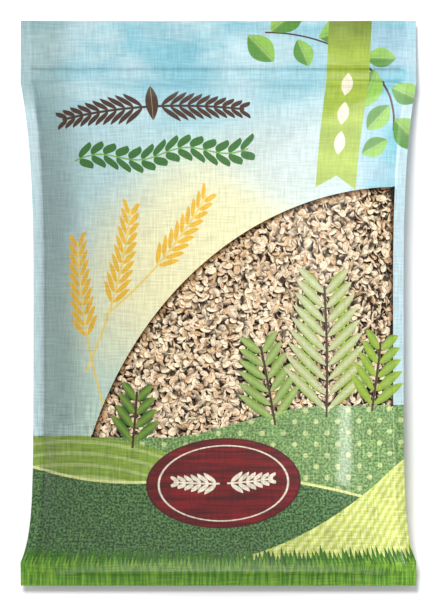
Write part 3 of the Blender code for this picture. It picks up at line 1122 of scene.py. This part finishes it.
def clear_film():
    """See-through film with the plants' ink, and a painted shadow along the edges of the print, where
    the print keeps the light off the oats.
    """
    material, output = new_material("Clear film")
    sheet = Sheet(material, LIME)
    paint_window_plants(sheet)
    tree = sheet.tree
    threads = linen(sheet)
    woven = tinted(tree, sheet.ink, scaled_sum(threads, 0.35, PAPER_WHITE))
    shader = satin(tree, woven, threads)
    through = tree.nodes.new("ShaderNodeBsdfTransparent")
    # Painted shadow: the light through the film is browned along the window's edges, where the print
    # keeps the light off the oats.
    x, y = sheet.local(WINDOW_CENTRE, 0, WINDOW_RADII)
    rim = step_between(maths("SQRT", scaled_sum(x, x, y * y)), *RIM_SHADOW_REACH)
    rim = larger(rim, step_between(sheet.u, WINDOW_RIGHT - RIM_SHADOW_BY_WELD, WINDOW_RIGHT))
    feed(through.inputs["Color"], blend_colours(rim * RIM_SHADE, CLEAR, RIM_SHADOW_BROWN))
    gloss = tree.nodes.new("ShaderNodeBsdfGlossy")
    gloss.inputs["Roughness"].default_value = 0.18
    weight = tree.nodes.new("ShaderNodeLayerWeight")
    weight.inputs["Blend"].default_value = 0.5
    grazing = maths("POWER", Number(weight.outputs["Facing"]), 5.0)
    clear = tree.nodes.new("ShaderNodeMixShader")
    feed(clear.inputs[0], scaled_sum(grazing, GRAZING_GLOSS, FACE_ON_GLOSS))
    feed(clear.inputs[1], through.outputs[0])
    feed(clear.inputs[2], gloss.outputs[0])
    both = tree.nodes.new("ShaderNodeMixShader")
    feed(both.inputs[0], sheet.cover)
    feed(both.inputs[1], clear.outputs[0])
    feed(both.inputs[2], shader.outputs[0])
    feed(output.inputs[0], both.outputs[0])
    print("clear film has", len(tree.nodes), "nodes")
    return material


def back_film():
    """The back's print goes on round the welds: the same sky, fields and border, and no more."""
    material, output = new_material("Satin film of the back")
    sheet = Sheet(material, MINT)
    paint_sky(sheet)
    paint_fields(sheet)
    paint_border(sheet)
    threads = linen(sheet)
    woven = tinted(sheet.tree, sheet.ink, scaled_sum(threads, 0.45, PAPER_WHITE))
    shader = satin(sheet.tree, woven, threads)
    feed(output.inputs[0], shader.outputs[0])
    return material


# %% Film pieces
front, across, along = sheet_mesh(front_points, front_grid_u, front_grid_v, True)
inside = split_at_window(front, across, along)
window = front.copy()
bmesh.ops.delete(front, geom=inside, context="FACES")
window_across = window.verts.layers.float["across"]
window_along = window.verts.layers.float["along"]
printed_part = [face for face in window.faces
                if outside_window(*middle_of(face, window_across, window_along)) >= 0]
bmesh.ops.delete(window, geom=printed_part, context="FACES")
front_film = film_piece("front_film", front, across, along, printed_film())
window_film = film_piece("window_film", window, window_across, window_along, clear_film())
back = sheet_mesh(back_points, back_grid_u, back_grid_v, False)
back_sheet = film_piece("back_film", *back, back_film())

# %% [markdown]
# ## The oats
# Only the outermost flakes show, so the filling is a closed core, a few millimetres inside the
# film, with real flakes between it and the window. A rolled oat is a grain pressed to a little
# over half a millimetre: a slim, bumpy oval with a crease along it and ragged edges.

# %% The core
CORE_DEPTH = 0.0056
CORE_CLEARANCE = 0.0007
CORE_EDGE = (0.004, 0.012)
CORE_INSET = 3
MOST_OFF_FRONT = 0.45
MOST_OFF_BACK = 0.3


def oat_core(material):
    """The body of oats between the sheets, deeper where flakes lie over it."""
    upper = front_cloth - (0, LENGTH / 2, resting)
    lower = back_cloth - (0, LENGTH / 2, resting)
    room = upper[..., 2] - lower[..., 2]
    under_window = 1 - smooth_step(*CORE_EDGE, outside_window(cloth_grid_u, cloth_grid_v))
    depth = CORE_CLEARANCE + (CORE_DEPTH - CORE_CLEARANCE) * under_window
    depth = np.minimum(depth, MOST_OFF_FRONT * room)
    lift = np.minimum(CORE_CLEARANCE, MOST_OFF_BACK * room)
    upper -= normals_of(upper) * depth[..., None]
    lower[..., 2] += lift
    row = slice(CORE_INSET, int(np.searchsorted(cloth_v, FLAT_ZIP - TOLERANCE)) - 1)
    column = slice(CORE_INSET, len(cloth_u) - CORE_INSET)
    upper, lower = upper[row, column], lower[row, column]
    mesh = bmesh.new()
    top = [[mesh.verts.new(point) for point in line] for line in upper]
    bottom = [[mesh.verts.new(point) for point in line] for line in lower]
    last_row, last_column = len(top) - 1, len(top[0]) - 1
    for j in range(last_row):
        for i in range(last_column):
            mesh.faces.new((top[j][i], top[j][i + 1], top[j + 1][i + 1], top[j + 1][i]))
            mesh.faces.new((bottom[j][i], bottom[j + 1][i], bottom[j + 1][i + 1], bottom[j][i + 1]))
    rim = [(0, i) for i in range(last_column)] + [(j, last_column) for j in range(last_row)]
    rim += [(last_row, i) for i in range(last_column, 0, -1)]
    rim += [(j, 0) for j in range(last_row, 0, -1)]
    for (j, i), (next_j, next_i) in zip(rim, rim[1:] + rim[:1]):
        mesh.faces.new((top[j][i], bottom[j][i], bottom[next_j][next_i], top[next_j][next_i]))
    data = bpy.data.meshes.new("oat_core")
    mesh.to_mesh(data)
    mesh.free()
    data.materials.append(material)
    data.shade_smooth()
    core = bpy.data.objects.new("oat_core", data)
    scene.collection.objects.link(core)
    return core


# %% One flake
FLAKE_SIDES = 10
FLAKE_THICKNESS = 0.0006
FLAKE_SLIMNESS = (0.50, 0.74)
FLAT_SHARE = 0.80
CREASE_DEPTH = 0.22
CREASE_WIDTH = 0.2


def flake(name, seed, length, slimness, whole=True):
    """A flake of 60 triangles: two nearly flat faces that meet in a thin, ragged rim."""
    draw = np.random.default_rng(seed)
    curl = draw.uniform(-0.07, 0.09) * length
    twist = draw.uniform(-0.05, 0.05) * length
    jag = draw.uniform(0.88, 1.08, FLAKE_SIDES)
    mesh = bmesh.new()
    face_map = mesh.loops.layers.uv.new("Flake")
    flat = {}

    def corner(radius, turn, height):
        x = radius * math.cos(turn)
        y = radius * math.sin(turn)
        if not whole:
            x = max(x, -0.22 + 0.12 * math.sin(7 * turn + seed))
        bend = curl * x * x + twist * x * y
        groove = math.exp(-((y / CREASE_WIDTH) ** 2)) * (height > 0)
        crease = -CREASE_DEPTH * FLAKE_THICKNESS * groove
        place = (x * length / 2, y * length / 2 * slimness, bend + height + crease)
        vert = mesh.verts.new(place)
        flat[vert] = (x, y)
        return vert

    turns = [2 * math.pi * k / FLAKE_SIDES for k in range(FLAKE_SIDES)]
    rim = [corner(jag[k], turn, 0.0) for k, turn in enumerate(turns)]
    for side in (1, -1):
        height = side * FLAKE_THICKNESS / 2
        ring = [corner(FLAT_SHARE * jag[k], turn, height * draw.uniform(0.7, 1.3))
                for k, turn in enumerate(turns)]
        middle = corner(0.0, 0.0, height)
        for k in range(FLAKE_SIDES):
            after = (k + 1) % FLAKE_SIDES
            corners = (rim[k], rim[after], ring[after], ring[k])
            fan = (ring[k], ring[after], middle)
            mesh.faces.new(corners if side > 0 else corners[::-1])
            mesh.faces.new(fan if side > 0 else fan[::-1])
    for k in range(FLAKE_SIDES):
        mesh.edges.get((rim[k], rim[(k + 1) % FLAKE_SIDES])).smooth = False
    for face in mesh.faces:
        face.smooth = True
        for loop in face.loops:
            loop[face_map].uv = flat[loop.vert]
    data = bpy.data.meshes.new(name)
    mesh.to_mesh(data)
    mesh.free()
    return bpy.data.objects.new(name, data)


def flake_kinds(name, count, seed, lengths, whole=True):
    """A collection of differing flakes for the scatter to pick from."""
    kinds = bpy.data.collections.new(name)
    draw = np.random.default_rng(seed)
    for kind in range(count):
        length = draw.uniform(*lengths)
        slimness = draw.uniform(*FLAKE_SLIMNESS)
        kinds.objects.link(flake(f"{name}_{kind}", seed * 10 + kind, length, slimness, whole))
    return kinds


# %% [markdown]
# ## Scattering the flakes
# Placing thousands of flakes by hand is hopeless and a particle system doesn't export, so
# Geometry Nodes do it. Points are spread over the film above the window with a least distance
# between them, sunk below it by a random depth, and each gets a random flake at a random angle.
# The flakes lean this way and that, because they were poured in and not stacked. The result is
# then realized and given its material.

# %% The scatter tree
MOST_DENSE = 400000.0
FLAKE_SIZES = (0.86, 1.12)


def scatter_tree():
    """Geometry Nodes that lay flakes under a surface.

    The density is far more than fits, so that the spacing alone sets how many there are."""
    tree = bpy.data.node_groups.new("Flakes under film", "GeometryNodeTree")
    face = tree.interface
    face.new_socket("Geometry", in_out="INPUT", socket_type="NodeSocketGeometry")
    for name, kind in (("Flakes", "NodeSocketCollection"), ("Spacing", "NodeSocketFloat"),
                       ("Least depth", "NodeSocketFloat"), ("Most depth", "NodeSocketFloat"),
                       ("Lean", "NodeSocketFloat"), ("Seed", "NodeSocketInt"),
                       ("Finish", "NodeSocketMaterial")):
        face.new_socket(name, in_out="INPUT", socket_type=kind)
    face.new_socket("Geometry", in_out="OUTPUT", socket_type="NodeSocketGeometry")

    def add(kind, links, **settings):
        node = tree.nodes.new(kind)
        for key, value in settings.items():
            setattr(node, key, value)
        for name, value in links.items():
            feed(node.inputs[name], value)
        return node

    given = tree.nodes.new("NodeGroupInput").outputs
    points = add("GeometryNodeDistributePointsOnFaces",
                 {"Mesh": given["Geometry"], "Distance Min": given["Spacing"],
                  "Density Max": MOST_DENSE, "Seed": given["Seed"]}, distribute_method="POISSON")
    depth = add("FunctionNodeRandomValue",
                {2: given["Least depth"], 3: given["Most depth"], "Seed": given["Seed"]})
    down = add("ShaderNodeMath", {0: depth.outputs[1], 1: -1.0}, operation="MULTIPLY")
    sink = add("ShaderNodeVectorMath", {0: points.outputs["Normal"], "Scale": down.outputs[0]},
               operation="SCALE")
    sunk = add("GeometryNodeSetPosition",
               {"Geometry": points.outputs["Points"], "Offset": sink.outputs[0]})
    lean_back = add("ShaderNodeMath", {0: given["Lean"], 1: -1.0}, operation="MULTIPLY")
    least = add("ShaderNodeCombineXYZ", {0: lean_back.outputs[0], 1: lean_back.outputs[0], 2: 0.0})
    most = add("ShaderNodeCombineXYZ", {0: given["Lean"], 1: given["Lean"], 2: 2 * math.pi})
    turn = add("FunctionNodeRandomValue", {0: least.outputs[0], 1: most.outputs[0], "Seed": 7},
               data_type="FLOAT_VECTOR")
    as_turn = add("FunctionNodeEulerToRotation", {0: turn.outputs[0]})
    turned = add("FunctionNodeRotateRotation",
                 {"Rotation": points.outputs["Rotation"], "Rotate By": as_turn.outputs[0]},
                 rotation_space="LOCAL")
    kinds = add("GeometryNodeCollectionInfo",
                {"Collection": given["Flakes"], "Separate Children": True, "Reset Children": True})
    size = add("FunctionNodeRandomValue", {2: FLAKE_SIZES[0], 3: FLAKE_SIZES[1], "Seed": 3})
    placed = add("GeometryNodeInstanceOnPoints",
                 {"Points": sunk.outputs[0], "Instance": kinds.outputs[0], "Pick Instance": True,
                  "Rotation": turned.outputs[0], "Scale": size.outputs[1]})
    tone = add("FunctionNodeRandomValue", {"Seed": 19})
    toned = add("GeometryNodeStoreNamedAttribute",
                {"Geometry": placed.outputs[0], "Name": "tone", "Value": tone.outputs[1]},
                domain="INSTANCE")
    real = add("GeometryNodeRealizeInstances", {"Geometry": toned.outputs[0]})
    finished = add("GeometryNodeSetMaterial",
                   {"Geometry": real.outputs[0], "Material": given["Finish"]})
    feed(tree.nodes.new("NodeGroupOutput").inputs[0], finished.outputs[0])
    return tree


# %% [markdown]
# ## The flakes' finish
# A flake is cream where the starch shows and tan where bran is left, matt, with a darker crease.
# Flakes differ, so each got a random number from the scatter, and the shader turns it into its
# own shade between cream and tan. Noise in object coordinates adds the bran's streaks. The
# deeper a point lies under the film, the browner it gets, because hardly any light finds its way
# down between the flakes: the depth was noted on each vertex when the flakes were pressed.

# %% Oat materials
FLAKE_CREAM = colour(250, 230, 200)
FLAKE_TAN = colour(206, 166, 120)
BRAN = colour(112, 76, 42)
# Painted shade: the brown that stands for the shade deep between the flakes.
PAINTED_SHADE_BROWN = colour(44, 27, 12)
SHADE_START = 0.0008
SHADE_END = 0.0038


def object_noise(tree, scale, detail=2.0):
    """Noise in the piece's own coordinates, with so many lumps a metre."""
    place = tree.nodes.new("ShaderNodeTexCoord")
    node = tree.nodes.new("ShaderNodeTexNoise")
    feed(node.inputs["Vector"], place.outputs["Object"])
    node.inputs["Scale"].default_value = scale
    node.inputs["Detail"].default_value = detail
    return Number(node.outputs[0])


def attribute(tree, name):
    """A number that was stored on the mesh."""
    node = tree.nodes.new("ShaderNodeAttribute")
    node.attribute_name = name
    return Number(node.outputs["Fac"])


def flake_material():
    """Cream to tan starch with streaks of bran, browner in the crease, with painted shade at the rim
    and deep down.
    """
    material, output = new_material("Rolled oat")
    tree = material.node_tree
    tone = attribute(tree, "tone")
    depth = attribute(tree, "depth")
    place = tree.nodes.new("ShaderNodeUVMap")
    place.uv_map = "Flake"
    parts = tree.nodes.new("ShaderNodeSeparateXYZ")
    feed(parts.inputs[0], place.outputs[0])
    x, y = Number(parts.outputs[0]), Number(parts.outputs[1])
    patches = object_noise(tree, 330.0, 3.0)
    ink = blend_colours(step_between(tone + patches * 0.7, 0.75, 1.5), FLAKE_CREAM, FLAKE_TAN)
    streaks = step_between(object_noise(tree, 900.0), 0.56, 0.74)
    ink = blend_colours(streaks * 0.55, ink, BRAN)
    crease = 1 - step_between(abs(y), 0.02, 0.14)
    ink = blend_colours(crease * 0.22, ink, BRAN)
    # Painted shadow: a dark rim round every flake stands for the thin shadows in the gaps between
    # flakes.
    rim = step_between(maths("SQRT", scaled_sum(x, x, y * y)), 0.80, 0.98)
    ink = blend_colours(rim * 0.7, ink, BRAN)
    # Painted shade: the deeper a point lies under the film, the nearer its colour comes to the brown
    # of the shade between flakes.
    ink = blend_colours(step_between(depth, SHADE_START, SHADE_END) * 0.95, ink, PAINTED_SHADE_BROWN)
    shader = tree.nodes.new("ShaderNodeBsdfPrincipled")
    feed(shader.inputs["Base Color"], ink)
    shader.inputs["Roughness"].default_value = 0.75
    shader.inputs["Specular IOR Level"].default_value = 0.12
    bump = tree.nodes.new("ShaderNodeBump")
    bump.inputs["Strength"].default_value = 0.9
    bump.inputs["Distance"].default_value = 0.0003
    feed(bump.inputs["Height"], object_noise(tree, 700.0, 3.0) - crease * 0.6)
    feed(shader.inputs["Normal"], bump.outputs[0])
    feed(output.inputs[0], shader.outputs[0])
    return material


def core_material():
    """Painted shade: the dark between the flakes, coloured as the shade down there and not as oats.
    """
    material, output = new_material("Oats in painted shade")
    tree = material.node_tree
    grain = object_noise(tree, 260.0, 3.0)
    shader = tree.nodes.new("ShaderNodeBsdfPrincipled")
    feed(shader.inputs["Base Color"], blend_colours(step_between(grain, 0.35, 0.7), PAINTED_SHADE_BROWN, BRAN))
    shader.inputs["Roughness"].default_value = 0.85
    feed(output.inputs[0], shader.outputs[0])
    return material


# %% Scatter the flakes and press them under the film
BED_MARGIN = 0.006
FLAKE_CLEARANCE = FILM * 2

core = oat_core(core_material())
oat_finish = flake_material()
tree = scatter_tree()
identifier = {item.name: item.identifier for item in tree.interface.items_tree
              if item.in_out == "INPUT"}

bed_mesh, bed_across, bed_along = sheet_mesh(front_points, front_grid_u, front_grid_v, True)
beyond_bed = []
for face in bed_mesh.faces:
    middle_u, middle_v = middle_of(face, bed_across, bed_along)
    if outside_window(middle_u, middle_v) > BED_MARGIN or middle_u > INNER:
        beyond_bed.append(face)
roof = BVHTree.FromBMesh(bed_mesh)
bmesh.ops.delete(bed_mesh, geom=beyond_bed, context="FACES")
bed = bpy.data.meshes.new("bed")
bed_mesh.to_mesh(bed)
bed_mesh.free()
bed_area = sum(polygon.area for polygon in bed.polygons)
print("window bed", round(bed_area * 1e4), "square centimetres")
back_bmesh = sheet_mesh(back_points, back_grid_u, back_grid_v, False)[0]
ground = BVHTree.FromBMesh(back_bmesh)
back_bmesh.free()


def press_under_film(mesh):
    """Pushes every vertex that stands above the film, or below the back, between the two.

    It also notes how deep under the film each vertex lies, for the finish."""
    pressed = 0
    depth = np.zeros(len(mesh.vertices), np.float32)
    for vert in mesh.vertices:
        above = roof.ray_cast(Vector((vert.co.x, vert.co.y, 1.0)), Vector((0, 0, -1)))[0]
        below = ground.ray_cast(Vector((vert.co.x, vert.co.y, -1.0)), Vector((0, 0, 1)))[0]
        if above is None or below is None:
            continue
        highest = above.z - FLAKE_CLEARANCE
        lowest = min(below.z + FLAKE_CLEARANCE, highest)
        if vert.co.z > highest:
            vert.co.z = highest
            pressed += 1
        elif vert.co.z < lowest:
            vert.co.z = lowest
            pressed += 1
        depth[vert.index] = above.z - vert.co.z
    mesh.attributes.new("depth", "FLOAT", "POINT").data.foreach_set("value", depth)
    return pressed


def scatter(name, kinds, spacing, depths, lean, seed):
    """One piece of flakes under the window, which lean by up to so many degrees."""
    piece = bpy.data.objects.new(name, bed.copy())
    scene.collection.objects.link(piece)
    modifier = piece.modifiers.new("scatter", "NODES")
    modifier.node_group = tree
    values = {"Flakes": kinds, "Spacing": spacing, "Least depth": depths[0],
              "Most depth": depths[1], "Lean": math.radians(lean), "Seed": seed,
              "Finish": oat_finish}
    for key, value in values.items():
        modifier[identifier[key]] = value
    make_plain(piece)
    pressed = press_under_film(piece.data)
    triangles = sum(len(polygon.vertices) - 2 for polygon in piece.data.polygons)
    print(name, triangles, "triangles,", pressed, "vertices pressed")
    for kind in list(kinds.objects):
        bpy.data.objects.remove(kind)
    bpy.data.collections.remove(kinds)
    return piece


large = scatter("large_flakes", flake_kinds("large", count=7, seed=1, lengths=(0.0084, 0.0102)),
                spacing=0.0044, depths=(0.0014, 0.0040), lean=44, seed=1)
small = scatter("small_flakes", flake_kinds("small", count=6, seed=2, lengths=(0.0062, 0.0080)),
                spacing=0.0040, depths=(0.0010, 0.0044), lean=60, seed=2)
broken = scatter("broken_flakes",
                 flake_kinds("broken", count=5, seed=3, lengths=(0.0070, 0.0090), whole=False),
                 spacing=0.0052, depths=(0.0006, 0.0030), lean=70, seed=3)

# %% [markdown]
# ## Handing the pieces over
# Each piece is attached to the body that it rides on, and the construction model's node that it
# replaces is hidden. The table also lists each piece's material slot, which nothing here uses.
# Nothing on a sealed pouch moves, so every piece rides on the root.

# %% Ride and replace; the slots are only listed
films = (front_film, window_film, back_sheet)
oats = (core, large, small, broken)
for piece, node, slot in ((front_film, "pouch", "printed_film"),
                          (back_sheet, "pouch", "printed_film"),
                          (window_film, "clear_window", "clear_film"),
                          *((piece, "oats", "oats") for piece in oats)):
    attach(piece, "root")
    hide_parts(node)
print(len(films), "pieces of film and", len(oats), "pieces of oats")

# %% [markdown]
# ## The stage
# A product photo on white: a pale floor, soft light all round, and one large light from the
# right, which leaves the left side of the pouch in shade. A long, narrow lamp lower down draws
# the bright streak on the film's right side. Each lamp lights only what it is there for: the oats
# have a small one almost overhead, whose crisp shadows set one flake off from the next, and the
# floor has its own, which keeps it white and throws the thin shadow below and right of the pouch.
# The camera looks straight down from far off, as a long lens does, so the edges stay parallel.

# %% How the floor and the lamps are made
LIGHTS_AIM = Vector((0, 0, 0.03))


def white_floor():
    """A sheet of matt white paper under the pouch, which isn't part of the object."""
    bpy.ops.mesh.primitive_plane_add(size=8)
    floor = bpy.context.object
    floor.name = "floor"
    material, output = new_material("White paper")
    paper = material.node_tree.nodes.new("ShaderNodeBsdfPrincipled")
    paper.inputs["Base Color"].default_value = (0.93, 0.93, 0.93, 1)
    paper.inputs["Roughness"].default_value = 0.8
    feed(output.inputs[0], paper.outputs[0])
    floor.data.materials.append(material)
    return floor


def area_light(name, place, size, power):
    """A square lamp of so many metres and watts that points at the pouch."""
    light = bpy.data.lights.new(name, "AREA")
    light.size = size
    light.energy = power
    lamp = bpy.data.objects.new(name, light)
    lamp.location = place
    lamp.rotation_euler = (LIGHTS_AIM - lamp.location).to_track_quat("-Z", "Y").to_euler()
    scene.collection.objects.link(lamp)
    return lamp


def lit_only(lamp, name, members):
    """Lets a lamp light only these objects."""
    lit = bpy.data.collections.new(name)
    for member in members:
        lit.objects.link(member)
    lamp.light_linking.receiver_collection = lit


# %% Floor and light
floor = white_floor()
key = area_light("key", place=(1.1, 0.95, 1.5), size=1.8, power=41)
lit_only(key, "lit by key", films)
strip = area_light("strip light", place=(1.19, -0.35, 1.05), size=0.7, power=7)
strip.data.shape = "RECTANGLE"
strip.data.size_y = 0.20
lit_only(strip, "lit by strip", (front_film, back_sheet))
overhead = area_light("overhead light", place=(0.55, 0.75, 1.7), size=0.3, power=33)
lit_only(overhead, "lit from overhead", oats)
sweep = area_light("floor light", place=(-0.5, 1.6, 2.2), size=0.9, power=80)
lit_only(sweep, "lit by floor light", (floor,))
world = bpy.data.worlds.new("soft white")
scene.world = world
world.use_nodes = True
background = world.node_tree.nodes["Background"]
background.inputs["Color"].default_value = (1, 1, 1, 1)
background.inputs["Strength"].default_value = 0.58
scene.view_settings.view_transform = "Standard"
print("lamps", [lamp.name for lamp in (key, strip, overhead, sweep)])

# %% Camera
CAMERA_HEIGHT = 2.4
SEEN_HEIGHT = 0.4666
EYE_LEVEL = 0.012

camera = bpy.data.objects.new("camera", bpy.data.cameras.new("camera"))
camera.data.lens = camera.data.sensor_width * CAMERA_HEIGHT / SEEN_HEIGHT
camera.location = (0, 0, CAMERA_HEIGHT + EYE_LEVEL)
scene.collection.objects.link(camera)
scene.camera = camera
print("lens", round(camera.data.lens, 1), "mm")
